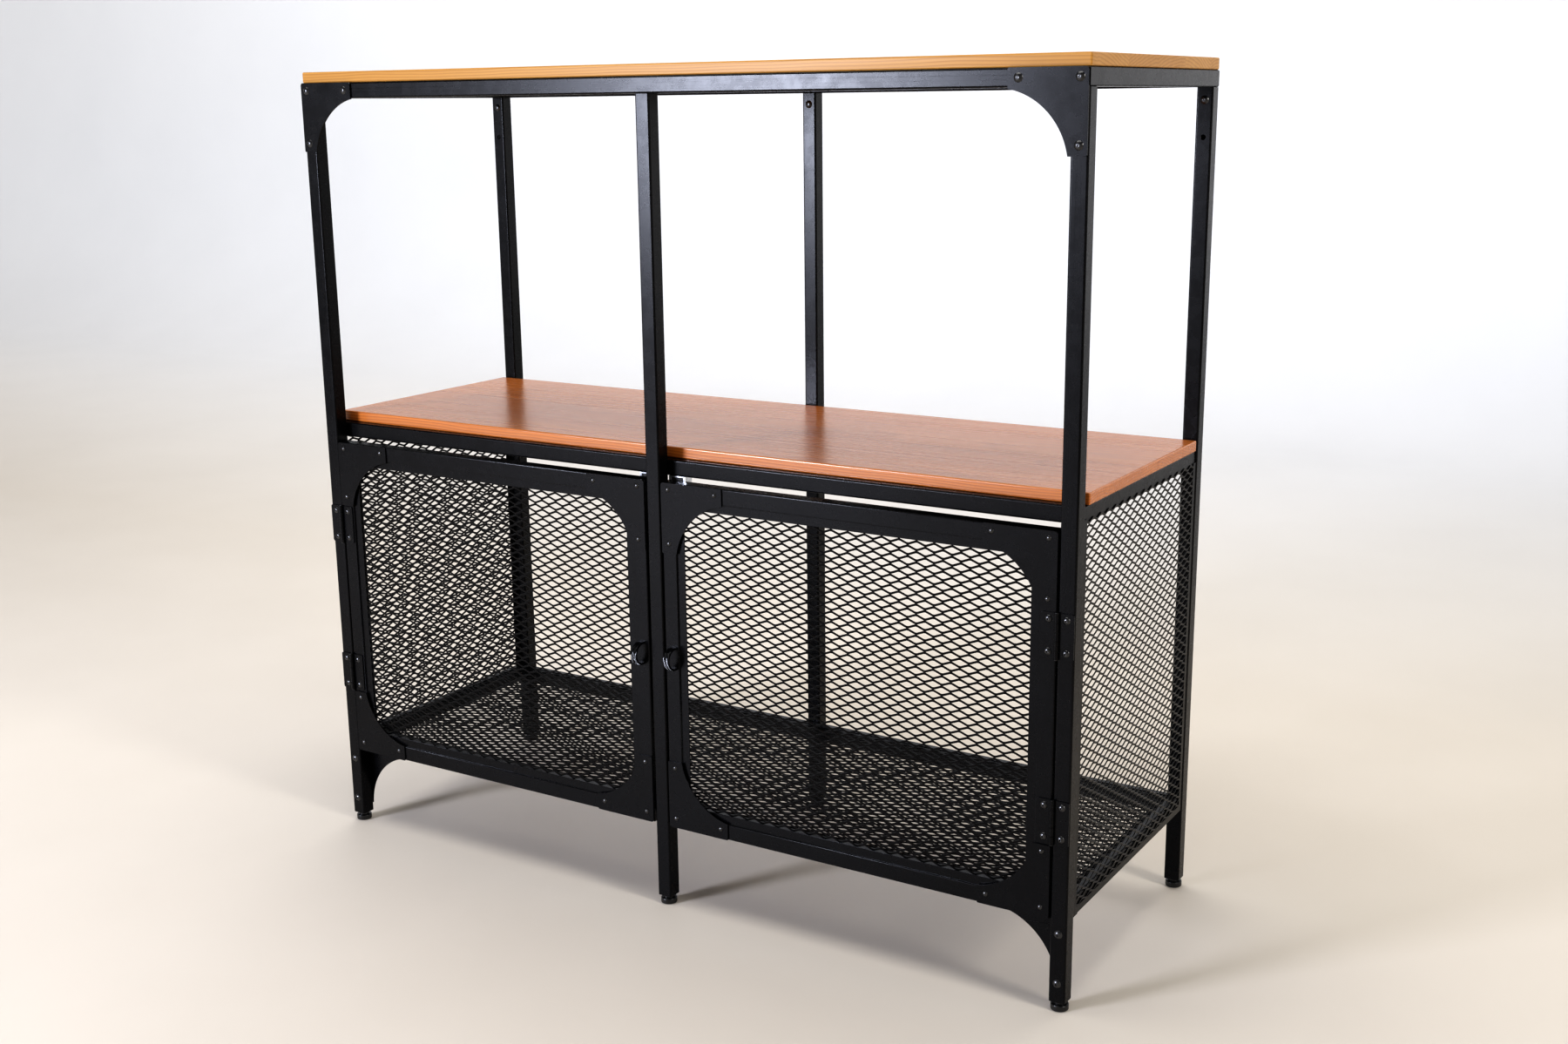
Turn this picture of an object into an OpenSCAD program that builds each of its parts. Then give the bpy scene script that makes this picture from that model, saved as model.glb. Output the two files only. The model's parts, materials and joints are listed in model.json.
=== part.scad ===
// Black steel cabinet stand: six tube posts, three tube rings, two wooden boards,
// expanded-metal sides and floor, and two framed mesh doors on butt hinges.
// X runs to the right, Y to the back and Z up. The origin is under the middle of the whole stand.

/* [Overall] */
// Width over the tube frame
frame_w = 1000; // [900:10:1200]
// Depth over the tube rings, without the front plates and handles
frame_d = 358; // [320:1:420]
// Height from the floor to the top of the top board
frame_h = 950; // [900:10:1100]

/* [Tubes] */
// Side of the square tube
tube = 18; // [16:1:22]
// Wall of the square tube
tube_wall = 1.5; // [1:0.1:2]
// Outside corner radius of the tube
tube_r = 2; // [1.7:0.1:3]
// Gap under each post that the foot fills
foot_h = 10.5; // [8:0.5:14]

/* [Levels] */
// Height of the underside of the floor ring
floor_z = 100; // [80:5:140]
// Height of the underside of the shelf ring
shelf_z = 509; // [440:1:560]
// Thickness of both boards
board_t = 12.5; // [10:0.5:16]
// Edge rounding of both boards
board_r = 1.6; // [1:0.1:3]

/* [Doors] */
// Gap between a door and the centre post
door_gap_in = 2.5; // [1.5:0.1:4]
// Gap between a door and the outer post
door_gap_out = 1.5; // [1.2:0.1:3]
// Gap between the doors and the shelf ring
door_gap_top = 4; // [3:0.5:8]
// Depth of a door
door_t = 17; // [12:0.5:17]
// Width of the door frame's front face
door_face = 18; // [14:1:24]
// Width of the sunk lip that holds the mesh
door_lip = 10; // [6:1:14]
// How far the lip is sunk behind the face
lip_sink = 2; // [1:0.5:4]
// Wall of the door frame
door_wall = 1.2; // [1:0.1:2]

/* [Corner plates] */
// Side of the corner plates
plate = 80; // [70:1:90]
// Thickness of the frame's corner plates
plate_t = 2; // [1:0.1:3]
// Thickness of the doors' corner plates
door_plate_t = 1.5; // [1:0.1:2]

/* [Hinges] */
// Height of a hinge
hinge_h = 47; // [40:1:60]
// Outside radius of the hinge barrel
barrel_r = 2.5; // [2.2:0.1:3]
// Thickness of a hinge leaf
leaf_t = 1.2; // [0.8:0.1:1.4]
// Height of the lower hinge's middle
hinge_low_z = 206.5; // [190:0.5:220]
// Height of the upper hinge's middle
hinge_high_z = 400.5; // [390:0.5:400.5]

/* [Handles] */
// Distance between the handle's two legs
handle_span = 24; // [20:1:40]
// Straight part of each leg
handle_leg = 2.5; // [1:0.5:10]
// Width of the handle's strap
handle_w = 7; // [5:0.5:9]
// Thickness of the handle's strap
handle_t = 2.4; // [2:0.1:3]
// Height of the handle's middle
handle_z = 304; // [250:1:360]

/* [Mesh] */
// Thickness of the mesh sheets
mesh_t = 1; // [0.8:0.1:1.5]

/* [Hidden] */
SIDES = ["left", "right"];
PLACES = ["front_left", "front_centre", "front_right", "back_left", "back_centre", "back_right"];
RUNS = ["front", "back", "left", "right"];
RINGS = ["top", "shelf", "floor"];

$fn = 48;
eps = 0.01;

// Colours
steel_black = [0.09, 0.09, 0.10];
screw_black = [0.05, 0.05, 0.05];
zinc = [0.75, 0.76, 0.78];
magnet_dark = [0.12, 0.11, 0.10];
pine_light = [0.80, 0.58, 0.33];
pine_brown = [0.62, 0.38, 0.18];
plastic_black = [0.04, 0.04, 0.04];

// Handle: the strap is a half ring on two short legs
handle_r = handle_span / 2;
handle_in = 1.8;
handle_out = handle_leg + handle_r + handle_t / 2;

// The handles stand out at the front and the round feet at the back; the frame sits between
foot_r = 9.5;
foot_over = foot_r - tube / 2;
y_front = (handle_out - frame_d - foot_over) / 2;
y_back = y_front + frame_d;
y_in_front = y_front + tube;
y_in_back = y_back - tube;
x_out = frame_w / 2;
x_in = x_out - tube;

// Levels
top_z = frame_h - board_t - tube;
post_h = top_z - foot_h;
floor_top = floor_z + tube;
shelf_top = shelf_z + tube;

// Rings under the shelf and at the floor stand between the front and back posts
side_recess = 2;
ring_x = x_out - side_recess;

// Corner plates and gussets share one kind of arc
arc_r = 75;
arc_c = 93;
plate_corner_r = 3;
plate_end_r = 1.5;
plate_inset = 0.8;
plate_top = frame_h - board_t;
hole_near = 9;
hole_far = 70;
gusset_t = 1.5;
gusset_w = 93;
gusset_h = 80;
gusset_arc_r = 75.5;
gusset_arc_down = 82;
gusset_flange = 12;

// Screws: domed heads, shank and hole
head_r = 4.6;
head_h = 2.2;
shank_r = 2.2;
hole_r = 2.3;
socket_r = 1.45;
socket_depth = 1.3;
plate_screw_l = 12;
leg_screw_z = [31.5, 86];
leg_screw_l = 22;
spigot_screw_z = 906.5;
spigot_l = 36;
spigot_gap = 0.2;
wall_hole_z = plate_top - hole_far;
wall_hole_r = 2.75;

// Feet
foot_disc = 7;
foot_round = 1.5;
neck_r = 6.5;
neck_gap = 0.2;
stud_r = 3.9;
stud_l = 14;
insert_h = 16;
insert_gap = 0.1;
insert_bore_r = 3.95;

// Doors
door_in = tube / 2 + door_gap_in;
door_out = x_in - door_gap_out;
door_w = door_out - door_in;
door_low = floor_z + 0.5;
door_top = shelf_z - door_gap_top;
door_h = door_top - door_low;
lip_t = 1;
vent_r = 1.5;
vent_x = 60;
rivet_near = 9.5;
rivet_up = 2.2;
rivet_far = 70.5;
rivet_r = 3;
rivet_h = 1.6;

// Hinges
axis_x = x_in;
axis_off = 0.1;
axis_y = y_front - barrel_r - axis_off;
pin_r = 1.25;
pin_fit = 0.05;
pin_head = 0.7;
pin_head_r = 1.9;
knuckles = 5;
knuckle_gap = 0.3;
knuckle_h = (hinge_h - (knuckles - 1) * knuckle_gap) / knuckles;
leaf_w = x_out - axis_x - 0.3;
leaf_r = 2.5;
leaf_screw_x = 9.5;
leaf_screw_z = 16.7;
leaf_screw_l = 8;
leaf_head_r = 3.9;
leaf_head_h = 1.9;
leaf_shank_r = 1.7;
leaf_hole_r = 1.8;
leaf_socket_r = 1.2;
hinge_levels = [hinge_low_z, hinge_high_z];

// Catches under the shelf ring, one behind each door's inner top corner
catch_w = 22;
catch_d = 13;
catch_h = 12;
catch_cheek = 3;
catch_plate = 1.5;
catch_x = 9;
catch_y = y_in_front + 0.5;

// ---------- shared shapes ----------

// Square with rounded corners, centred
module round_square(w, h, r) {
  square([w - 2 * r, h], center = true);
  square([w, h - 2 * r], center = true);
  for (sx = [-1, 1]) for (sy = [-1, 1])
    translate([sx * (w / 2 - r), sy * (h / 2 - r)]) circle(r = r);
}

// Tube section, centred
module tube_section() {
  inner = tube - 2 * tube_wall;
  difference() {
    round_square(tube, tube, tube_r);
    round_square(inner, inner, tube_r - tube_wall);
  }
}

// Tube lying along X, its ends cut at 45 degrees; the long side faces -Y
module mitred_tube(l) {
  intersection() {
    translate([-l / 2, 0, 0]) rotate([90, 0, 90]) linear_extrude(l) tube_section();
    translate([0, 0, -tube]) linear_extrude(2 * tube)
      polygon([
        [-l / 2, -tube / 2], [l / 2, -tube / 2],
        [l / 2 - tube, tube / 2], [-l / 2 + tube, tube / 2]
      ]);
  }
}

// Cylinder along +Y from the given point
module rod_y(r, l) {
  rotate([-90, 0, 0]) cylinder(r = r, h = l);
}

// Domed screw whose head stands on the plane y = 0 and whose shank goes to +Y
module dome_screw(hr, hh, sr, l, key_r) {
  dome_r = (hr * hr + hh * hh) / (2 * hh);
  difference() {
    union() {
      rod_y(sr, l);
      rotate([90, 0, 0]) intersection() {
        cylinder(r = hr, h = hh);
        translate([0, 0, hh - dome_r]) sphere(r = dome_r);
      }
    }
    translate([0, -hh - eps, 0]) rotate([-90, 0, 0])
      cylinder(r = key_r, h = socket_depth, $fn = 6);
  }
}

// Mirrors a part made for the right side to the left
module on_side(s) {
  if (s == "left") mirror([1, 0, 0]) children();
  else children();
}

// Places of the posts: the middle of each post in plan
function post_x(p) =
  (p == "front_left" || p == "back_left") ? -x_out + tube / 2 :
  (p == "front_right" || p == "back_right") ? x_out - tube / 2 : 0;
function is_front(p) = p == "front_left" || p == "front_centre" || p == "front_right";
function post_y(p) = is_front(p) ? y_front + tube / 2 : y_back - tube / 2;

// ---------- holes that several parts share ----------

// Holes of the corner plates' screws, on both sides
module corner_plate_holes() {
  for (s = SIDES) on_side(s) {
    for (q = [[hole_near, hole_near], [hole_far, hole_near], [hole_near, hole_far]])
      translate([x_out - q[0], y_front - plate_t - 1, plate_top - q[1]])
        rod_y(hole_r, plate_t + tube_wall + 2);
  }
}

// Holes of the screws through the front legs and gussets
module leg_holes() {
  for (s = SIDES) on_side(s)
    for (z = leg_screw_z)
      translate([x_out - tube / 2, y_front - 1, z]) rod_y(hole_r, tube + gusset_t + 2);
}

// Holes of the hinge screws in the posts and in the doors
module hinge_screw_holes(side) {
  for (z = hinge_levels) for (dz = [-leaf_screw_z, leaf_screw_z])
    translate([axis_x + side * leaf_screw_x, y_front - leaf_t - 1, z + dz])
      rod_y(leaf_hole_r, leaf_t + 4);
}

// Holes for fixing the outer back posts to a wall
module wall_holes() {
  for (s = SIDES) on_side(s)
    translate([x_out - tube / 2, y_in_back - 1, wall_hole_z]) rod_y(wall_hole_r, tube + 2);
}

// Holes of the screws that hold the spigots
module spigot_holes() {
  for (p = ["back_left", "back_centre", "back_right"])
    translate([post_x(p), y_in_back - 1, spigot_screw_z]) rod_y(hole_r, tube - tube_wall);
}

// ---------- frame ----------

module post(p) {
  color(steel_black) difference() {
    translate([post_x(p), post_y(p), foot_h]) linear_extrude(post_h) tube_section();
    if (is_front(p)) {
      corner_plate_holes();
      leg_holes();
      for (s = SIDES) on_side(s) hinge_screw_holes(1);
    } else {
      wall_holes();
      spigot_holes();
    }
  }
}

// One side of a ring of mitred tubes; the ring's outer size is w by d
module ring_rail(run, w, d, y_mid, z) {
  along = (run == "front" || run == "back") ? w : d;
  away = (run == "front" || run == "back") ? d / 2 - tube / 2 : w / 2 - tube / 2;
  turn = run == "front" ? 0 : run == "right" ? 90 : run == "back" ? 180 : 270;
  translate([0, y_mid, z + tube / 2]) rotate([0, 0, turn])
    translate([0, -away, 0]) mitred_tube(along);
}

module top_rail(run) {
  color(steel_black) difference() {
    ring_rail(run, frame_w, frame_d, (y_front + y_back) / 2, top_z);
    corner_plate_holes();
  }
}

module inner_rail(run, z) {
  color(steel_black)
    ring_rail(run, 2 * ring_x, frame_d - 2 * tube, (y_front + y_back) / 2, z);
}

// Board with all its edges rounded, its lower left front corner at the origin
module board(w, d, t) {
  r = board_r;
  translate([r, r, 0]) cube([w - 2 * r, d - 2 * r, t]);
  translate([0, r, r]) cube([w, d - 2 * r, t - 2 * r]);
  translate([r, 0, r]) cube([w - 2 * r, d, t - 2 * r]);
  for (z = [r, t - r]) {
    for (y = [r, d - r]) translate([r, y, z]) rotate([0, 90, 0]) cylinder(r = r, h = w - 2 * r);
    for (x = [r, w - r]) translate([x, r, z]) rotate([-90, 0, 0]) cylinder(r = r, h = d - 2 * r);
    for (x = [r, w - r]) for (y = [r, d - r]) translate([x, y, z]) sphere(r = r);
  }
  for (x = [r, w - r]) for (y = [r, d - r])
    translate([x, y, r]) cylinder(r = r, h = t - 2 * r);
}

module top_board() {
  set_back = 2;
  color(pine_light) translate([-x_out, y_front + set_back, frame_h - board_t])
    board(frame_w, frame_d - set_back - 1, board_t);
}

module shelf_board() {
  front_gap = 10;
  back_gap = 4;
  color(pine_brown) translate([-x_out, y_in_front + front_gap, shelf_top])
    board(frame_w, frame_d - 2 * tube - front_gap - back_gap, board_t);
}

module floor_mesh() {
  inset = 2;
  color(steel_black) translate([-ring_x + inset, y_in_front + inset, floor_top])
    cube([2 * (ring_x - inset), frame_d - 2 * tube - 2 * inset, mesh_t]);
}

// Mesh side: it lies on the outer faces of the shelf ring and the floor ring
module side_mesh(s) {
  overlap = 5;
  gap = 0.5;
  color(steel_black) on_side(s) translate([ring_x, y_in_front + gap, floor_z])
    cube([mesh_t, frame_d - 2 * tube - 2 * gap, shelf_z + overlap - floor_z]);
}

// Square with its outer corner at the origin, reaching to -X and -Y, its corners rounded
module plate_blank(size) {
  r = plate_corner_r;
  e = plate_end_r;
  translate([-size + e, -size]) square([size - e - r, size]);
  translate([-size, -size + e]) square([size, size - e - r]);
  translate([-r, -r]) circle(r = r);
  for (q = [[-size + e, -e], [-e, -size + e]]) translate(q) circle(r = e);
}

// Flat plate in the X-Z plane with its outer corner at the origin, reaching to -X and -Z
module arc_plate(size, t) {
  rotate([90, 0, 0]) translate([0, 0, -t]) linear_extrude(t) difference() {
    plate_blank(size);
    translate([-arc_c, -arc_c]) circle(r = arc_r, $fn = 96);
  }
}

module corner_plate(s) {
  color(steel_black) difference() {
    on_side(s) translate([x_out - plate_inset, y_front - plate_t, plate_top])
      arc_plate(plate, plate_t);
    corner_plate_holes();
  }
}

module corner_plate_screws() {
  color(screw_black) for (s = SIDES) on_side(s)
    for (q = [[hole_near, hole_near], [hole_far, hole_near], [hole_near, hole_far]])
      translate([x_out - q[0], y_front - plate_t, plate_top - q[1]])
        dome_screw(head_r, head_h, shank_r, plate_screw_l, socket_r);
}

// Gusset behind a front leg, with a flange under the floor ring
module leg_gusset(s) {
  edge = 1;
  color(steel_black) difference() {
    on_side(s) {
      translate([x_out, y_in_front + gusset_t, floor_z]) rotate([90, 0, 0])
        linear_extrude(gusset_t) difference() {
          translate([-gusset_w, -gusset_h]) square([gusset_w - edge, gusset_h]);
          translate([-gusset_w, -gusset_arc_down]) circle(r = gusset_arc_r, $fn = 96);
        }
      translate([x_out - gusset_w, y_in_front, floor_z - gusset_t])
        cube([gusset_w - edge, gusset_flange, gusset_t]);
    }
    leg_holes();
  }
}

module leg_screws() {
  color(screw_black) for (s = SIDES) on_side(s)
    for (z = leg_screw_z)
      translate([x_out - tube / 2, y_front, z])
        dome_screw(head_r, head_h, shank_r, leg_screw_l, socket_r);
}

// Blocks under the top ring that fit into the back posts and the front centre post
module top_spigots() {
  side = tube - 2 * tube_wall - 2 * spigot_gap;
  color(steel_black) difference() {
    for (p = ["front_centre", "back_left", "back_centre", "back_right"])
      translate([post_x(p) - side / 2, post_y(p) - side / 2, top_z - spigot_l])
        cube([side, side, spigot_l]);
    spigot_holes();
  }
}

module spigot_screws() {
  color(screw_black) for (p = ["back_left", "back_centre", "back_right"])
    translate([post_x(p), y_in_back, spigot_screw_z])
      dome_screw(head_r, head_h, shank_r, plate_screw_l, socket_r);
}

// ---------- feet ----------

// Plug in the end of each post with the thread for its foot
module foot_inserts() {
  side = tube - 2 * tube_wall - 2 * insert_gap;
  color(plastic_black) for (p = PLACES)
    translate([post_x(p), post_y(p), foot_h]) difference() {
      translate([-side / 2, -side / 2, 0]) cube([side, side, insert_h]);
      translate([0, 0, -1]) cylinder(r = insert_bore_r, h = insert_h + 2);
    }
}

module foot(p) {
  color(plastic_black) translate([post_x(p), post_y(p), 0]) {
    rotate_extrude() {
      square([foot_r - foot_round, foot_disc]);
      translate([0, foot_round]) square([foot_r, foot_disc - 2 * foot_round]);
      for (z = [foot_round, foot_disc - foot_round])
        translate([foot_r - foot_round, z]) intersection() {
          circle(r = foot_round);
          translate([0, -foot_round]) square([foot_round, 2 * foot_round]);
        }
      square([neck_r, foot_h - neck_gap]);
      square([stud_r, foot_h + stud_l]);
    }
  }
}

// ---------- catches and hinge halves on the frame ----------

// Two cheeks on a back plate under the shelf ring, with room for the magnet between them
module catch(s) {
  color(zinc) on_side(s) translate([catch_x, catch_y, shelf_z - catch_h]) {
    translate([0, 0, catch_h - catch_plate]) cube([catch_w, catch_d, catch_plate]);
    translate([0, catch_d - catch_plate, 0]) cube([catch_w, catch_plate, catch_h]);
    for (x = [0, catch_w - catch_cheek]) translate([x, 0, 0])
      cube([catch_cheek, catch_d, catch_h]);
  }
}

module catch_magnets() {
  inset = 1;
  color(magnet_dark) for (s = SIDES) on_side(s)
    translate([catch_x + catch_cheek, catch_y + inset, shelf_z - catch_h + inset])
      cube([
        catch_w - 2 * catch_cheek, catch_d - inset - catch_plate, catch_h - inset - catch_plate
      ]);
}

// Knuckles of one hinge: even ones sit on the post, odd ones on the door
module knuckle_set(first) {
  for (k = [first : 2 : knuckles - 1])
    translate([0, 0, -hinge_h / 2 + k * (knuckle_h + knuckle_gap)])
      difference() {
        cylinder(r = barrel_r, h = knuckle_h);
        translate([0, 0, -1])
          cylinder(r = first == 0 ? pin_r : pin_r + pin_fit, h = knuckle_h + 2);
      }
}

// Leaf with its tongues: side is 1 for the post's leaf and -1 for the door's leaf
module hinge_leaf(side, first, from_axis) {
  tongue = from_axis + 1;
  difference() {
    union() {
      translate([side > 0 ? from_axis : -leaf_w + leaf_r, 0, -hinge_h / 2])
        cube([leaf_w - from_axis - leaf_r, leaf_t, hinge_h]);
      translate([side > 0 ? from_axis : -leaf_w, 0, -hinge_h / 2 + leaf_r])
        cube([leaf_w - from_axis, leaf_t, hinge_h - 2 * leaf_r]);
      for (z = [leaf_r, hinge_h - leaf_r])
        translate([side * (leaf_w - leaf_r), 0, z - hinge_h / 2]) rod_y(leaf_r, leaf_t);
      for (k = [first : 2 : knuckles - 1])
        translate([
          side > 0 ? 0 : -tongue, 0, -hinge_h / 2 + k * (knuckle_h + knuckle_gap)
        ]) cube([tongue, leaf_t, knuckle_h]);
    }
    translate([0, leaf_t - barrel_r - axis_off, -hinge_h])
      cylinder(r = barrel_r - eps, h = 2 * hinge_h);
  }
}

module hinge_half(side, first) {
  leaf_gap = 2.5;
  difference() {
    for (z = hinge_levels) {
      translate([axis_x, axis_y, z]) knuckle_set(first);
      translate([axis_x, y_front - leaf_t, z]) hinge_leaf(side, first, leaf_gap);
    }
    hinge_screw_holes(side);
  }
}

module hinge_post_leaves(s) {
  color(steel_black) on_side(s) hinge_half(1, 0);
}

module hinge_pins() {
  color(screw_black) for (s = SIDES) on_side(s)
    for (z = hinge_levels) translate([axis_x, axis_y, z - hinge_h / 2 - pin_head])
      {
        cylinder(r = pin_r, h = hinge_h + 2 * pin_head);
        for (e = [0, hinge_h + pin_head]) translate([0, 0, e])
          cylinder(r = pin_head_r, h = pin_head);
      }
}

// Screws of one leaf: side is 1 for the post's leaf and -1 for the door's leaf
module leaf_screws(side) {
  for (z = hinge_levels) for (dz = [-leaf_screw_z, leaf_screw_z])
    translate([axis_x + side * leaf_screw_x, y_front - leaf_t, z + dz])
      dome_screw(leaf_head_r, leaf_head_h, leaf_shank_r, leaf_screw_l, leaf_socket_r);
}

module hinge_post_screws() {
  color(screw_black) for (s = SIDES) on_side(s) leaf_screws(1);
}

// ---------- doors, made for the right side ----------

// Picture-frame of the given strip width between y0 and y1, set in from the door's outline
module door_band(set_in, strip, y0, y1) {
  translate([door_in + set_in, y0, door_low + set_in]) difference() {
    cube([door_w - 2 * set_in, y1 - y0, door_h - 2 * set_in]);
    translate([strip, -1, strip])
      cube([door_w - 2 * (set_in + strip), y1 - y0 + 2, door_h - 2 * (set_in + strip)]);
  }
}

// Frame of square tube with a sunk lip around the mesh
module door_frame(s) {
  y0 = y_front;
  y1 = y_front + door_t;
  color(steel_black) on_side(s) difference() {
    union() {
      difference() {
        door_band(0, door_face, y0, y1);
        door_band(door_wall, door_face - 2 * door_wall, y0 + door_wall, y1 - door_wall);
      }
      door_band(door_face, door_lip, y0 + lip_sink, y0 + lip_sink + lip_t);
    }
    hinge_screw_holes(-1);
    for (x = [door_in + vent_x, door_out - vent_x])
      translate([x, y1 - 2 * door_wall, door_low + door_face / 2]) rod_y(vent_r, 3 * door_wall);
    rivet_places() translate([0, y0 - 1, 0]) rod_y(rivet_r / 2, door_wall + 2);
  }
}

module door_mesh(s) {
  gap = 1;
  x0 = door_in + door_face + gap;
  z0 = door_low + door_face + gap;
  color(steel_black) on_side(s) translate([x0, y_front + lip_sink + lip_t, z0])
    cube([door_out - door_face - gap - x0, mesh_t, door_top - door_face - gap - z0]);
}

// Puts its child at each rivet of a door, in the X-Z plane
module rivet_places() {
  for (q = [[rivet_near, rivet_near], [rivet_far, rivet_near], [rivet_near, rivet_far]])
    for (x = [door_in + q[0], door_out - q[0]])
      for (z = [door_low + q[1], door_top - q[1]])
        translate([x, 0, z + rivet_up]) children();
}

module door_corner_plates(s) {
  y0 = y_front - door_plate_t;
  color(steel_black) on_side(s) difference() {
    for (sx = [0, 1]) for (sz = [0, 1])
      translate([sx ? door_out : door_in, y0, sz ? door_top : door_low])
        mirror([sx ? 0 : 1, 0, 0]) mirror([0, 0, sz ? 0 : 1]) arc_plate(plate, door_plate_t);
    rivet_places() translate([0, y0 - 1, 0]) rod_y(rivet_r / 2, door_plate_t + 2);
  }
}

module door_rivets(s) {
  shank = door_plate_t + door_wall + 1;
  dome_r = (rivet_r * rivet_r + rivet_h * rivet_h) / (2 * rivet_h);
  color(screw_black) on_side(s) rivet_places() translate([0, y_front - door_plate_t, 0]) {
    rod_y(rivet_r / 2, shank);
    rotate([90, 0, 0]) intersection() {
      cylinder(r = rivet_r, h = rivet_h);
      translate([0, 0, rivet_h - dome_r]) sphere(r = dome_r);
    }
  }
}

module door_hinge_leaves(s) {
  color(steel_black) on_side(s) hinge_half(-1, 1);
}

module door_hinge_screws(s) {
  color(screw_black) on_side(s) leaf_screws(-1);
}

// Bow handle: a half ring of flat strap with a groove along the middle of its outside
module door_handle(s) {
  groove_w = 1.6;
  groove_d = 0.5;
  x = door_in + door_face / 2 + handle_in;
  r_out = handle_r + handle_t / 2;
  r_in = handle_r - handle_t / 2;
  color(plastic_black) on_side(s) translate([x, y_front - handle_leg, handle_z])
    rotate([0, 90, 0]) {
      difference() {
        translate([0, 0, -handle_w / 2]) intersection() {
          difference() {
            cylinder(r = r_out, h = handle_w);
            translate([0, 0, -1]) cylinder(r = r_in, h = handle_w + 2);
          }
          translate([-r_out - 1, -r_out - 1, 0]) cube([2 * r_out + 2, r_out + 1, handle_w]);
        }
        translate([0, 0, -groove_w / 2]) difference() {
          cylinder(r = r_out + 1, h = groove_w);
          translate([0, 0, -1]) cylinder(r = r_out - groove_d, h = groove_w + 2);
        }
      }
      for (e = [-1, 1]) translate([e * handle_r - handle_t / 2, -eps, -handle_w / 2])
        cube([handle_t, handle_leg + eps, handle_w]);
    }
}

// ---------- drawing ----------

for (p = PLACES) post(p);
for (n = RUNS) top_rail(n);
for (n = RUNS) inner_rail(n, shelf_z);
for (n = RUNS) inner_rail(n, floor_z);
top_board();
shelf_board();
floor_mesh();
for (s = SIDES) side_mesh(s);
for (s = SIDES) corner_plate(s);
corner_plate_screws();
for (s = SIDES) leg_gusset(s);
leg_screws();
top_spigots();
spigot_screws();
foot_inserts();
for (p = PLACES) foot(p);
for (s = SIDES) catch(s);
catch_magnets();
hinge_pins();
hinge_post_screws();
for (s = SIDES) hinge_post_leaves(s);
for (s = SIDES) door_frame(s);
for (s = SIDES) door_mesh(s);
for (s = SIDES) door_corner_plates(s);
for (s = SIDES) door_rivets(s);
for (s = SIDES) door_hinge_leaves(s);
for (s = SIDES) door_hinge_screws(s);
for (s = SIDES) door_handle(s);
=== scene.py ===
import json
import math

import bmesh
import bpy
import numpy as np
from mathutils import Matrix, Vector


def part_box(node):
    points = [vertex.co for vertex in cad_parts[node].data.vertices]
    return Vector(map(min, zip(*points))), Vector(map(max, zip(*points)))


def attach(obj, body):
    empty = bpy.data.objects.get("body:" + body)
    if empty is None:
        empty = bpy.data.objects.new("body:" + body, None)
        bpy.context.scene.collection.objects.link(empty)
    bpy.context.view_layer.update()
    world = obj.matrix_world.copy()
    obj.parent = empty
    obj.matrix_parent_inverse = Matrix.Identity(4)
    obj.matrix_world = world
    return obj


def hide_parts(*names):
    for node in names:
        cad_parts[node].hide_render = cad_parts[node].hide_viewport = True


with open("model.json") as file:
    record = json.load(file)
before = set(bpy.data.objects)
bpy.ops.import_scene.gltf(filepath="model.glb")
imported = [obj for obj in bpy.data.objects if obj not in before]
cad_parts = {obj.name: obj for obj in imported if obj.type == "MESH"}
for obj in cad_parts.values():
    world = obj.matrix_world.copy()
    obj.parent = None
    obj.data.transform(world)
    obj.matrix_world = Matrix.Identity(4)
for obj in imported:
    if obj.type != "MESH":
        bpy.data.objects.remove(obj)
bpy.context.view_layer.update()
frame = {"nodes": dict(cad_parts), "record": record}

# A black steel cabinet stand with wooden boards, expanded-metal sides and floor, and two
# framed mesh doors. Everything is in metres in the CAD's frame. The CAD nodes stay, with
# better materials and softened edges. The mesh sheets and the door frames are built here.

MM = 0.001
SIDES = ("left", "right")
nodes = frame["nodes"]


# ---------------------------------------------------------------- material helpers

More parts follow.
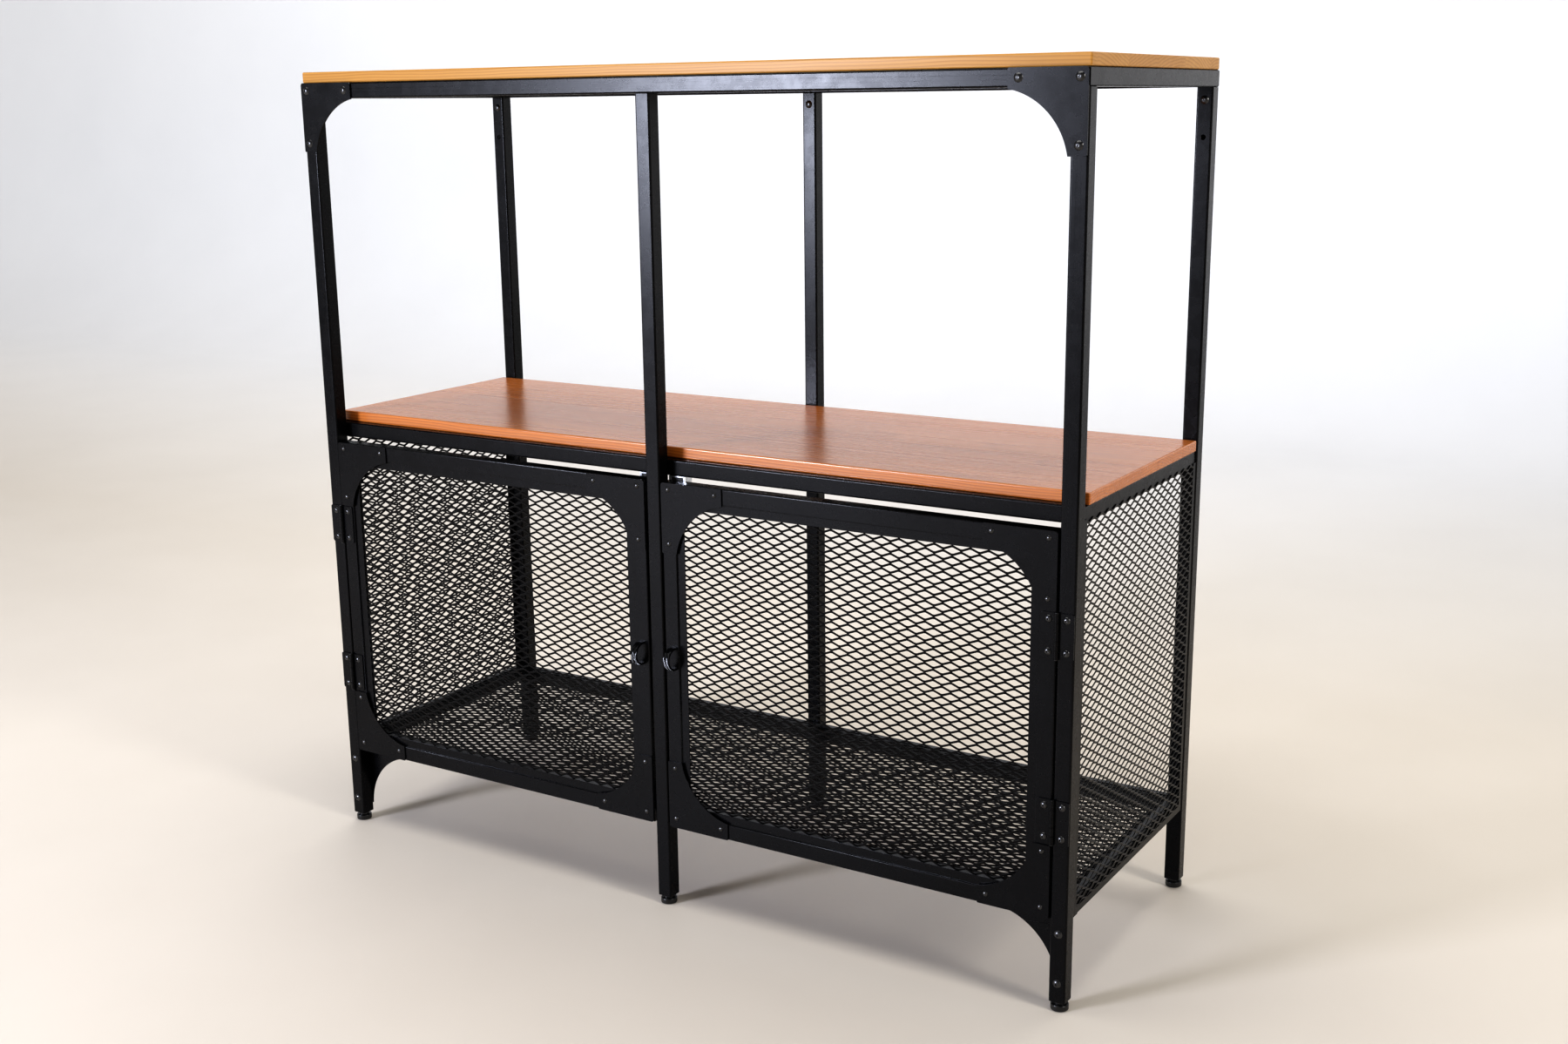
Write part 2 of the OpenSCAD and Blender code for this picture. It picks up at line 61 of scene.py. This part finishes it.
class Shader:
    """A material and short ways to add nodes to it."""

    def __init__(self, name):
        self.mat = bpy.data.materials.new(name)
        self.mat.use_nodes = True
        self.tree = self.mat.node_tree
        self.bsdf = self.tree.nodes["Principled BSDF"]
        self.coords = self.add("ShaderNodeTexCoord").outputs["Object"]

    def add(self, kind, **values):
        node = self.tree.nodes.new(kind)
        for key, value in values.items():
            setattr(node, key, value)
        return node

    def link(self, out, to):
        self.tree.links.new(out, to)

    def put(self, socket, value):
        """A number, a colour or another node's output goes into a socket."""
        if isinstance(value, bpy.types.NodeSocket):
            self.link(value, socket)
        else:
            socket.default_value = value

    def math(self, operation, a, b=0.0):
        node = self.add("ShaderNodeMath", operation=operation)
        self.put(node.inputs[0], a)
        self.put(node.inputs[1], b)
        return node.outputs[0]

    def split(self, vector):
        """The x, y and z of a vector."""
        node = self.add("ShaderNodeSeparateXYZ")
        self.link(vector, node.inputs[0])
        return node.outputs

    def scaled(self, xyz):
        """Object coordinates stretched by xyz."""
        node = self.add("ShaderNodeMapping", vector_type="POINT")
        node.inputs["Scale"].default_value = xyz
        self.link(self.coords, node.inputs["Vector"])
        return node.outputs[0]

    def noise(self, vector, scale, detail=2.0, rough=0.5):
        node = self.add("ShaderNodeTexNoise")
        self.link(vector, node.inputs["Vector"])
        node.inputs["Scale"].default_value = scale
        node.inputs["Detail"].default_value = detail
        node.inputs["Roughness"].default_value = rough
        return node.outputs["Fac"]

    def ramp(self, value, stops):
        """Colour ramp: stops are (place, colour or grey)."""
        node = self.add("ShaderNodeValToRGB")
        self.link(value, node.inputs["Fac"])
        marks = node.color_ramp.elements
        while len(marks) < len(stops):
            marks.new(0.5)
        for mark, (place, colour) in zip(marks, stops):
            mark.position = place
            grey = isinstance(colour, (int, float))
            mark.color = (colour, colour, colour, 1) if grey else (*colour, 1)
        return node.outputs["Color"]

    def mix(self, fac, a, b, blend="MIX"):
        node = self.add("ShaderNodeMix", data_type="RGBA", blend_type=blend)
        self.put(node.inputs["Factor"], fac)
        for name, value in (("A", a), ("B", b)):
            socket = [s for s in node.inputs if s.name == name and s.type == "RGBA"][0]
            if not isinstance(value, bpy.types.NodeSocket):
                value = (*value, 1)
            self.put(socket, value)
        return [s for s in node.outputs if s.type == "RGBA"][0]

    def fade(self, value):
        """Clips a value to 0..1, as a colour."""
        return self.ramp(value, [(0.0, 0.0), (1.0, 1.0)])

    def darkened(self, fac, colour, by):
        """A colour multiplied by another, as far as fac says."""
        return self.mix(fac, colour, self.mix(1.0, colour, by, "MULTIPLY"))

    def spread(self, value, low, high):
        """Maps 0..1 to low..high."""
        node = self.add("ShaderNodeMapRange")
        self.link(value, node.inputs["Value"])
        node.inputs["To Min"].default_value = low
        node.inputs["To Max"].default_value = high
        return node.outputs[0]

    def bump(self, height, strength, distance, under=None):
        node = self.add("ShaderNodeBump")
        self.link(height, node.inputs["Height"])
        node.inputs["Strength"].default_value = strength
        node.inputs["Distance"].default_value = distance
        if under:
            self.link(under, node.inputs["Normal"])
        return node.outputs["Normal"]

    def finish(self, **values):
        """Sets the surface's sockets, each named with _ for a space, and returns the material."""
        for name, value in values.items():
            self.put(self.bsdf.inputs[name.replace("_", " ")], value)
        return self.mat


# ---------------------------------------------------------------- materials

def powder_coat(name, dark, light, rough, glint_paint=0.4, gloss=0.2):
    """Satin black coat: fine orange-peel grain, faint cloudiness, and sparse lighter specks painted into
    the colour as glints.
    """
    s = Shader(name)
    cloud = s.noise(s.coords, scale=14.0, detail=3.0)
    grain = s.noise(s.coords, scale=1250.0, rough=0.6)
    glint_noise = s.noise(s.coords, scale=1100.0, detail=1.0)
    peel = s.noise(s.coords, scale=420.0)
    wear = s.noise(s.coords, scale=60.0, detail=4.0, rough=0.6)
    base = s.mix(s.ramp(cloud, [(0.3, 0.0), (0.7, 1.0)]), dark, light)
    # sparse lighter specks mixed into the colour: painted glints that stand in for the coat's sparkle
    painted_glint = s.ramp(glint_noise, [(0.0, 0.0), (0.62, 0.0), (0.76, 1.0)])
    painted_glint_colour = tuple(c * 4.0 for c in light)
    colour = s.mix(s.math("MULTIPLY", painted_glint, glint_paint), base, painted_glint_colour)
    waves = s.bump(peel, strength=0.05, distance=0.1 * MM)
    normal = s.bump(grain, strength=0.4, distance=0.04 * MM, under=waves)
    roughness = s.spread(wear, rough - 0.07, rough + 0.07)
    return s.finish(Base_Color=colour, Roughness=roughness, Normal=normal, Specular_IOR_Level=gloss)


def wood(name, early, late, tone_shift, ring, rough, stave, contrast, on_top, relief, ior, seed):
    """Boards glued from staves: growth rings round each stave's own heart, with fine fibres.

    early and late are the two woods of a ring, tone_shift what some staves are darkened by, ring
    and stave their widths, contrast the grain's strength at the edges, on_top its share of that
    on the flat faces, and relief the strength of its bumps.
    """
    s = Shader(name)
    x, y, z = s.split(s.coords)
    number = s.math("FLOOR", s.math("ADD", s.math("DIVIDE", y, stave), seed))
    pick = s.add("ShaderNodeTexWhiteNoise", noise_dimensions="1D")
    s.link(number, pick.inputs["W"])
    rand = s.add("ShaderNodeSeparateColor")
    s.link(pick.outputs["Color"], rand.inputs[0])
    r1, r2, r3 = rand.outputs

    # each stave is cut from its own place in its own log
    middle = s.math("MULTIPLY", s.math("ADD", number, 0.5 - seed), stave)
    heart_y = s.math("ADD", middle, s.spread(r1, -0.06, 0.06))
    heart_z = s.spread(r2, 0.02, 0.075)
    own_x = s.math("ADD", x, s.math("MULTIPLY", r3, 5.0))

    # the rings wander a little along the log, and differently in each stave
    along, aside, stave_step = 2.2, 9.0, 7.3
    place = s.add("ShaderNodeCombineXYZ")
    own_z = s.math("ADD", s.math("MULTIPLY", z, aside), s.math("MULTIPLY", number, stave_step))
    s.link(s.math("MULTIPLY", own_x, along), place.inputs[0])
    s.link(s.math("MULTIPLY", y, aside), place.inputs[1])
    s.link(own_z, place.inputs[2])
    wander = s.noise(place.outputs[0], scale=1.0, detail=3.0)
    across = s.math("SUBTRACT", y, heart_y)
    height = s.math("ADD", s.math("SUBTRACT", z, s.math("SNAP", z, 0.4)), heart_z)
    radius = s.math("SQRT", s.math("ADD", s.math("MULTIPLY", across, across),
                                   s.math("MULTIPLY", height, height)))
    radius = s.math("ADD", radius, s.spread(wander, -0.012, 0.012))
    turn = s.math("FRACT", s.math("DIVIDE", radius, ring))
    late_wood = s.ramp(turn, [(0.0, 0.0), (0.45, 0.18), (0.86, 1.0), (1.0, 0.0)])

    # fibres and streaks along the board, and broad clouds
    fibre = s.noise(s.scaled((5.0, 900.0, 900.0)), scale=1.0, detail=3.0, rough=0.6)
    streak = s.noise(s.scaled((1.6, 150.0, 150.0)), scale=1.0, detail=4.0, rough=0.6)
    cloud = s.noise(s.scaled((2.0, 9.0, 9.0)), scale=1.0, detail=3.0)

    # the sanded top and bottom faces show their grain less than the sawn edges do
    facing = s.split(s.add("ShaderNodeTexCoord").outputs["Normal"])["Z"]
    shown = s.spread(s.math("ABSOLUTE", facing), contrast, contrast * on_top)
    line = s.math("MULTIPLY", s.math("ADD", late_wood, s.spread(streak, -0.25, 0.45)), shown)
    line.node.use_clamp = True
    tint = s.mix(s.fade(r3), (1.0, 1.0, 1.0), tone_shift)
    tone = s.mix(0.75, s.mix(line, early, late), tint, "MULTIPLY")
    tone = s.darkened(s.spread(cloud, 0.0, 0.45), tone, (0.78, 0.68, 0.60))
    tone = s.darkened(s.spread(fibre, 0.0, 0.35), tone, (0.60, 0.50, 0.42))
    ridges = s.bump(late_wood, strength=0.08 * relief, distance=0.1 * MM)
    normal = s.bump(fibre, strength=0.12 * relief, distance=0.05 * MM, under=ridges)
    roughness = s.spread(streak, rough - 0.06, rough + 0.10)
    return s.finish(Base_Color=tone, Roughness=roughness, Normal=normal, IOR=ior)


def moulded(name, colour, rough):
    """Moulded plastic: nearly smooth, with slight waviness and dust."""
    s = Shader(name)
    dust = s.noise(s.coords, scale=700.0, detail=3.0, rough=0.6)
    dusty = s.math("MULTIPLY", s.ramp(dust, [(0.55, 0.0), (0.75, 1.0)]), 0.25)
    base = s.mix(dusty, colour, (0.06, 0.055, 0.05))
    normal = s.bump(s.noise(s.coords, scale=120.0), strength=0.15, distance=0.1 * MM)
    roughness = s.spread(s.noise(s.coords, scale=90.0, detail=3.0), rough, rough + 0.14)
    return s.finish(Base_Color=base, Roughness=roughness, Normal=normal)


def plated(name, colour, rough):
    """Zinc plate: bright metal with a faint spangle."""
    s = Shader(name)
    cells = s.add("ShaderNodeTexVoronoi")
    s.link(s.coords, cells.inputs["Vector"])
    cells.inputs["Scale"].default_value = 260.0
    spangle = s.ramp(cells.outputs["Distance"], [(0.0, 0.0), (0.8, 1.0)])
    base = s.mix(spangle, tuple(c * 0.8 for c in colour), colour)
    roughness = s.spread(s.noise(s.coords, scale=300.0, detail=3.0), rough, rough + 0.2)
    normal = s.bump(s.noise(s.coords, scale=900.0), strength=0.15, distance=0.03 * MM)
    return s.finish(Base_Color=base, Roughness=roughness, Normal=normal, Metallic=1.0)


BLACK = powder_coat("black_powder_coat", (0.0020, 0.0020, 0.0024), (0.0034, 0.0035, 0.0043), 0.27)
MESH_BLACK = powder_coat("mesh_powder_coat", (0.0020, 0.0020, 0.0022), (0.0034, 0.0034, 0.0040),
                         0.30, glint_paint=0.25)
OXIDE_DARK, OXIDE_LIGHT = (0.0022, 0.0022, 0.0026), (0.0040, 0.0040, 0.0048)
SCREW_BLACK = powder_coat("black_oxide", OXIDE_DARK, OXIDE_LIGHT, 0.30, glint_paint=0.1, gloss=1.0)
HANDLE_BLACK = powder_coat("handle_black", OXIDE_DARK, OXIDE_LIGHT, 0.21, glint_paint=0.1, gloss=0.4)
TOP_WOOD = wood("top_pine", early=(0.56, 0.32, 0.088), late=(0.34, 0.165, 0.036),
                tone_shift=(0.84, 0.78, 0.70), ring=3.4 * MM, rough=0.34, stave=78.0 * MM,
                contrast=0.62, on_top=1.0, relief=0.6, ior=1.25, seed=3.0)
SHELF_WOOD = wood("shelf_pine", early=(0.58, 0.21, 0.042), late=(0.25, 0.065, 0.011),
                  tone_shift=(0.92, 0.88, 0.84), ring=3.0 * MM, rough=0.24, stave=86.0 * MM,
                  contrast=0.58, on_top=0.4, relief=0.2, ior=1.68, seed=11.0)
FOOT_PLASTIC = moulded("foot_plastic", (0.010, 0.010, 0.010), 0.16)
MAGNET = moulded("magnet", (0.02, 0.018, 0.016), 0.5)
ZINC = plated("zinc_plate", (0.72, 0.74, 0.77), 0.22)

SLOT_MATERIALS = {
    "black_steel": BLACK,
    "screw_black": SCREW_BLACK,
    "handle_black": HANDLE_BLACK,
    "top_board_wood": TOP_WOOD,
    "shelf_wood": SHELF_WOOD,
    "foot_plastic": FOOT_PLASTIC,
    "zinc": ZINC,
    "magnet": MAGNET,
}


# ---------------------------------------------------------------- the carried CAD nodes

# The bevel on each kind of node's edges, in mm, by a part of its name; the last match counts
EDGE = 0.25
SOFTENED = {"post_": 0.12, "rail_": 0.15, "screws": 0.12, "rivets": 0.0, "board": 0.0,
            "handle": 0.15, "foot_": 0.2, "pins": 0.15, "corner_plate": 0.35, "gusset": 0.35}
WELD = 0.002 * MM
SHARP = math.radians(40)


def shade_smooth(mesh):
    for face in mesh.polygons:
        face.use_smooth = True


def soften(obj, width):
    """Welds the mesh's split edges, rounds its sharp ones and shades it smooth."""
    weld = obj.modifiers.new("weld", "WELD")
    weld.merge_threshold = WELD
    if width > 0:
        bevel = obj.modifiers.new("edges", "BEVEL")
        bevel.width = width
        bevel.segments = 2
        bevel.limit_method = "ANGLE"
        bevel.angle_limit = SHARP
        bevel.use_clamp_overlap = True
    normals = obj.modifiers.new("normals", "WEIGHTED_NORMAL")
    normals.keep_sharp = False
    shade_smooth(obj.data)


for part in frame["record"]["subparts"]:
    name = part["node"]
    obj = nodes[name]
    obj.data.materials.clear()
    obj.data.materials.append(SLOT_MATERIALS[part["material_slot"]])
    width = EDGE
    for key, bevel_width in SOFTENED.items():
        if key in name:
            width = bevel_width
    soften(obj, width * MM)


# ---------------------------------------------------------------- mesh building

def new_piece(name, verts, faces, material, body, replaced):
    """A mesh piece that rides on a body and stands for a CAD node."""
    mesh = bpy.data.meshes.new(name)
    mesh.from_pydata([tuple(v) for v in verts], [], [tuple(f) for f in faces])
    mesh.materials.append(material)
    mesh.validate()
    obj = bpy.data.objects.new(name, mesh)
    bpy.context.scene.collection.objects.link(obj)
    bm = bmesh.new()
    bm.from_mesh(mesh)
    bmesh.ops.recalc_face_normals(bm, faces=bm.faces)
    bm.to_mesh(mesh)
    bm.free()
    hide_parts(replaced)
    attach(obj, body)
    return obj


# A strand of expanded metal: its width and thickness, the cut on its edges, the length of a
# bond between two strands, and how far the strand lies tilted out of the sheet's plane
STRAND_W = 2.45 * MM
STRAND_T = 1.0 * MM
STRAND_CUT = 0.22 * MM
BOND = 1.9 * MM
TILT = math.radians(13)


def zigzag(u0, u1, pitch_u, phase, flip):
    """The points (along, side) of one strand's middle line: flat at each bond, sloping between."""
    half = pitch_u / 2
    k = math.floor((u0 - phase) / half) - 1
    points = []
    while phase + k * half <= u1 + half:
        side = 1 if (k % 2 == 0) != flip else -1
        at = phase + k * half
        points += [(at - BOND / 2, side), (at + BOND / 2, side)]
        k += 1
    cut = []
    for (a, sa), (b, sb) in zip(points, points[1:]):
        if b <= u0 or a >= u1:
            continue
        lo, hi = max(a, u0), min(b, u1)
        if not cut:
            cut.append((lo, sa + (sb - sa) * (lo - a) / (b - a)))
        cut.append((hi, sa + (sb - sa) * (hi - a) / (b - a)))
    return cut


def strand_section():
    """The tilted outline of a strand, as points (across, out), with its four edges cut."""
    w, t, cut = STRAND_W / 2, STRAND_T / 2, STRAND_CUT
    half = [(w, t - cut), (w - cut, t), (-w + cut, t), (-w, t - cut)]
    outline = half + [(-a, -b) for a, b in half]
    cos, sin = math.cos(TILT), math.sin(TILT)
    return [(a * cos - b * sin, a * sin + b * cos) for a, b in outline]


def expanded_metal(origin, along, across, out, size, pitch, phase):
    """Vertices and faces of raised expanded metal in the rectangle from origin. size, pitch and
    phase are (along, across): the rectangle, a diamond, and where the first bond lies."""
    size_u, size_v = size
    pitch_u, pitch_v = pitch
    phase_u, phase_v = phase
    spacing = pitch_v / 2
    swing = (spacing - STRAND_W * math.cos(TILT)) / 2
    margin = swing + STRAND_W / 2
    section = strand_section()
    ring = len(section)
    along, across, out, origin = (np.array(v, float) for v in (along, across, out, origin))
    verts, faces = [], []
    row = math.ceil(-phase_v / spacing)
    while phase_v + row * spacing < size_v:
        mid = phase_v + row * spacing
        row += 1
        if mid < margin or mid > size_v - margin:
            continue
        path = zigzag(0.0, size_u, pitch_u, phase_u, row % 2 == 0)
        start = len(verts)
        for u, side in path:
            for dv, dn in section:
                verts.append(origin + along * u + across * (mid + side * swing + dv) + out * dn)
        for i in range(len(path) - 1):
            for j in range(ring):
                a, b = start + i * ring + j, start + i * ring + (j + 1) % ring
                faces.append((a, b, b + ring, a + ring))
        faces.append(tuple(start + j for j in range(ring)))
        end = start + (len(path) - 1) * ring
        faces.append(tuple(end + ring - 1 - j for j in range(ring)))
    return verts, faces


def flat_bar(verts, faces, lo, hi):
    """Adds a box from lo to hi, for a sheet's flat border."""
    lo, hi = np.array(lo, float), np.array(hi, float)
    start = len(verts)
    for x in (0, 1):
        for y in (0, 1):
            for z in (0, 1):
                verts.append(np.where([x, y, z], hi, lo))
    for f in ((0, 1, 3, 2), (4, 6, 7, 5), (0, 4, 5, 1), (2, 3, 7, 6), (0, 2, 6, 4), (1, 5, 7, 3)):
        faces.append(tuple(start + i for i in f))


X, Y, Z = (1, 0, 0), (0, 1, 0), (0, 0, 1)
# a diamond's long and short way, and where the first bond lies, along and up from the sheet's
# lower left corner
PITCH = (20.08 * MM, 11.07 * MM)
SIDE_PITCH = (20.1 * MM, 10.85 * MM)
DOOR_PHASE = {"left": (8.76 * MM, 5.85 * MM), "right": (3.48 * MM, 5.43 * MM)}
SIDE_PHASE = (15.85 * MM, 3.84 * MM)
FLOOR_PHASE = (4.0 * MM, 3.0 * MM)
# how far a door's strands lie behind the middle of its sheet
DOOR_SHEET_BACK = 0.3 * MM
# the width of a flat border, and how far a side sheet's strands reach into the lower one
BORDER = 7.5 * MM
OVERLAP = 2 * MM

# the doors' sheets
for side in SIDES:
    node = f"door_mesh_{side}"
    lo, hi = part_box(node)
    origin = (lo.x, (lo.y + hi.y) / 2 + DOOR_SHEET_BACK, lo.z)
    size = (hi.x - lo.x, hi.z - lo.z)
    verts, faces = expanded_metal(origin, X, Z, (0, -1, 0), size, PITCH, DOOR_PHASE[side])
    new_piece(f"door_expanded_metal_{side}", verts, faces, MESH_BLACK, f"door_{side}", node)

# the side sheets, with a flat border at the bottom and at both ends
for side, outward in zip(SIDES, (-1, 1)):
    node = f"side_mesh_{side}"
    lo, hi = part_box(node)
    rise = BORDER - OVERLAP
    origin = ((lo.x + hi.x) / 2, lo.y + BORDER, lo.z + rise)
    size = (hi.y - lo.y - 2 * BORDER, hi.z - lo.z - rise)
    verts, faces = expanded_metal(origin, Y, Z, (outward, 0, 0), size, SIDE_PITCH, SIDE_PHASE)
    flat_bar(verts, faces, (lo.x, lo.y, lo.z), (hi.x, hi.y, lo.z + BORDER))
    for y0, y1 in ((lo.y, lo.y + BORDER), (hi.y - BORDER, hi.y)):
        flat_bar(verts, faces, (lo.x, y0, lo.z + BORDER), (hi.x, y1, hi.z))
    new_piece(f"side_expanded_metal_{side}", verts, faces, MESH_BLACK, "frame", node)

# the floor sheet, with a flat border all round
lo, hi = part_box("floor_mesh")
origin = (lo.x + BORDER, lo.y + BORDER, (lo.z + hi.z) / 2)
size = (hi.x - lo.x - 2 * BORDER, hi.y - lo.y - 2 * BORDER)
verts, faces = expanded_metal(origin, X, Y, Z, size, PITCH, FLOOR_PHASE)
for y0, y1 in ((lo.y, lo.y + BORDER), (hi.y - BORDER, hi.y)):
    flat_bar(verts, faces, (lo.x, y0, lo.z), (hi.x, y1, hi.z))
for x0, x1 in ((lo.x, lo.x + BORDER), (hi.x - BORDER, hi.x)):
    flat_bar(verts, faces, (x0, lo.y + BORDER, lo.z), (x1, hi.y - BORDER, hi.z))
new_piece("floor_expanded_metal", verts, faces, MESH_BLACK, "frame", "floor_mesh")


# ---------------------------------------------------------------- door frames

def rounded(points, radii, steps=4):
    """A closed outline with each corner rounded by its own radius."""
    result = []
    count = len(points)
    for i in range(count):
        p = Vector(points[i])
        a, b = Vector(points[i - 1]), Vector(points[(i + 1) % count])
        r = radii[i]
        da, db = (a - p).normalized(), (b - p).normalized()
        half = da.angle(db) / 2
        reach = r / math.tan(half)
        centre = p + (da + db).normalized() * (r / math.sin(half))
        start, end = p + da * reach - centre, p + db * reach - centre
        turn = start.angle_signed(end)
        for k in range(steps + 1):
            angle = -turn * k / steps
            result.append(tuple(centre + Matrix.Rotation(angle, 2) @ start))
    return result


def picture_frame(lo, hi, outline):
    """Sweeps an outline of (inward, back) points round the rectangle, with mitred corners."""
    verts, faces = [], []
    count = len(outline)
    for inward, back in outline:
        x0, x1, z0, z1 = lo.x + inward, hi.x - inward, lo.z + inward, hi.z - inward
        y = lo.y + back
        verts += [(x0, y, z0), (x1, y, z0), (x1, y, z1), (x0, y, z1)]
    for i in range(count):
        a, b = 4 * i, 4 * ((i + 1) % count)
        for k in range(4):
            faces.append((a + k, a + (k + 1) % 4, b + (k + 1) % 4, b + k))
    return verts, faces


# the tube's face, how far inward the sunk lip reaches, how deep it is sunk and how thick it is
FACE = 18 * MM
LIP = 28 * MM
SINK = 2 * MM
LIP_T = 1 * MM
# the rounding of the tube's outer edges, of the edge over the lip, and of the lip's own edges
TUBE_R = 1.5 * MM
FACE_R = 0.9 * MM
ROOT_R = 0.4 * MM
LIP_R = 0.35 * MM
BACK_ROOT_R = 0.3 * MM
for side in SIDES:
    node = f"door_frame_{side}"
    lo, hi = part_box(node)
    deep = hi.y - lo.y
    lip_back = SINK + LIP_T
    corners = [(0, 0), (FACE, 0), (FACE, SINK), (LIP, SINK), (LIP, lip_back), (FACE, lip_back),
               (FACE, deep), (0, deep)]
    radii = [TUBE_R, FACE_R, ROOT_R, LIP_R, LIP_R, BACK_ROOT_R, TUBE_R, TUBE_R]
    verts, faces = picture_frame(lo, hi, rounded(corners, radii))
    obj = new_piece(f"door_tube_frame_{side}", verts, faces, BLACK, f"door_{side}", node)
    obj.modifiers.new("normals", "WEIGHTED_NORMAL")
    shade_smooth(obj.data)


# ---------------------------------------------------------------- stage, lights and camera

# A floor that curves up into a backdrop, far enough back for a camera behind the object, and
# the studio's other three walls
REACH = 9.0
WALL_Y, WALL_TOP = 3.6, 4.5
SWEEP_R, SWEEP_STEPS = 0.8, 12
FRONT_Y, SIDE_X = -6.5, 7.0
FLOOR_DROP = 0.2 * MM
# the backdrop starts to glow at this y, and has its full glow at WALL_Y
GLOW_FROM = 0.9
WALL_GLOW = 0.17
SURROUND_GLOW = 0.25
PAPER_ROUGH = 0.6


def stage_material():
    """Pale paper, warm on the floor and neutral on the backdrop, which glows to look even."""
    s = Shader("stage_paper")
    y = s.split(s.coords)["Y"]
    wall = s.fade(s.math("DIVIDE", s.math("SUBTRACT", y, GLOW_FROM), WALL_Y - GLOW_FROM))
    mottle = s.noise(s.coords, scale=3.0, detail=3.0)
    floor_base = s.mix(mottle, (0.60, 0.55, 0.48), (0.65, 0.60, 0.53))
    wall_base = s.mix(mottle, (0.56, 0.57, 0.59), (0.60, 0.61, 0.63))
    glow = s.mix(wall, (0.0, 0.0, 0.0), (0.95, 0.97, 1.0))
    return s.finish(Base_Color=s.mix(wall, floor_base, wall_base), Roughness=PAPER_ROUGH,
                    Emission_Color=glow, Emission_Strength=WALL_GLOW)


def surround_material():
    """The same kind of paper, glowing faintly all over."""
    s = Shader("surround_paper")
    mottle = s.noise(s.coords, scale=3.0, detail=3.0)
    base = s.mix(mottle, (0.60, 0.57, 0.53), (0.65, 0.62, 0.58))
    return s.finish(Base_Color=base, Roughness=PAPER_ROUGH,
                    Emission_Color=(1.0, 0.99, 0.985, 1), Emission_Strength=SURROUND_GLOW)


def stage_piece(name, verts, faces, material):
    """A part of the stage, which isn't part of the object."""
    mesh = bpy.data.meshes.new(name)
    mesh.from_pydata(verts, [], faces)
    mesh.materials.append(material)
    obj = bpy.data.objects.new(name, mesh)
    bpy.context.scene.collection.objects.link(obj)
    return obj


profile = [(-REACH, 0.0)]
for k in range(SWEEP_STEPS + 1):
    turn = math.radians(90) * k / SWEEP_STEPS
    profile.append((WALL_Y - SWEEP_R + SWEEP_R * math.sin(turn), SWEEP_R * (1 - math.cos(turn))))
profile.append((WALL_Y, WALL_TOP))
verts = [(x, y, z - FLOOR_DROP) for y, z in profile for x in (-REACH, REACH)]
faces = [(2 * i, 2 * i + 1, 2 * i + 3, 2 * i + 2) for i in range(len(profile) - 1)]
floor = stage_piece("stage_floor", verts, faces, stage_material())
shade_smooth(floor.data)

corners = [(-SIDE_X, WALL_Y), (-SIDE_X, FRONT_Y), (SIDE_X, FRONT_Y), (SIDE_X, WALL_Y)]
verts = [(x, y, z) for x, y in corners for z in (0.0, WALL_TOP)]
faces = [(2 * i, 2 * i + 2, 2 * i + 3, 2 * i + 1) for i in range(len(corners) - 1)]
stage_piece("stage_surround", verts, faces, surround_material())

world = bpy.data.worlds.new("studio")
bpy.context.scene.world = world
world.use_nodes = True
background = world.node_tree.nodes["Background"]
background.inputs["Color"].default_value = (0.93, 0.95, 1.0, 1)
background.inputs["Strength"].default_value = 0.06


def softbox(name, place, aim, width, height, power, colour):
    """A rectangular light at place that faces aim and isn't seen by the camera."""
    light = bpy.data.lights.new(name, "AREA")
    light.shape = "RECTANGLE"
    light.size, light.size_y = width, height
    light.energy = power
    light.color = colour
    obj = bpy.data.objects.new(name, light)
    bpy.context.scene.collection.objects.link(obj)
    obj.location = place
    obj.rotation_euler = (Vector(aim) - Vector(place)).to_track_quat("-Z", "Y").to_euler()
    obj.visible_camera = False


# a window to the front left whose reflection lights the top rail, then soft fill light
softbox("window_light", (-1.76, -3.22, 1.06), (0.1, 0.0, 0.85), width=0.70, height=0.80,
        power=125, colour=(0.80, 0.84, 1.0))
softbox("right_light", (2.9, -0.5, 1.7), (0.0, 0.0, 0.5), width=0.6, height=0.9,
        power=31, colour=(1.0, 0.97, 0.93))
softbox("corner_light", (1.9, 3.3, 0.95), (0.5, 0.0, 0.6), width=2.0, height=1.8,
        power=7, colour=(1.0, 0.98, 0.97))
softbox("top_light", (-0.4, 0.3, 3.2), (-0.4, 0.2, 0.0), width=3.0, height=3.0,
        power=78, colour=(1.0, 0.99, 0.97))
softbox("wall_light", (-3.4, 1.6, 2.8), (-3.7, 3.6, 1.3), width=4.0, height=0.8,
        power=38, colour=(1.0, 0.99, 0.98))

# The camera stands to the right of the middle, a little below the top board, and looks down
CAMERA_AT = (1.1223, -1.6981, 0.9071)
CAMERA_TURN = math.radians(31.957)
CAMERA_DOWN = math.radians(13.402)
CAMERA_ROLL = math.radians(-0.659)
camera = bpy.data.cameras.new("camera")
camera.sensor_width = 36.0
camera.lens = 40.29
camera.clip_start = 0.05
camera_obj = bpy.data.objects.new("camera", camera)
bpy.context.scene.collection.objects.link(camera_obj)
back = Vector((math.sin(CAMERA_TURN) * math.cos(CAMERA_DOWN),
               -math.cos(CAMERA_TURN) * math.cos(CAMERA_DOWN),
               math.sin(CAMERA_DOWN)))
level_right = (-back).cross(Vector(Z)).normalized()
level_up = level_right.cross(-back)
right = level_right * math.cos(CAMERA_ROLL) + level_up * math.sin(CAMERA_ROLL)
up = level_up * math.cos(CAMERA_ROLL) - level_right * math.sin(CAMERA_ROLL)
camera_obj.matrix_world = Matrix.Translation(CAMERA_AT) @ Matrix((right, up, back)).transposed().to_4x4()
bpy.context.scene.camera = camera_obj
view = bpy.context.scene.view_settings
view.view_transform = "Standard"
view.look = "High Contrast"
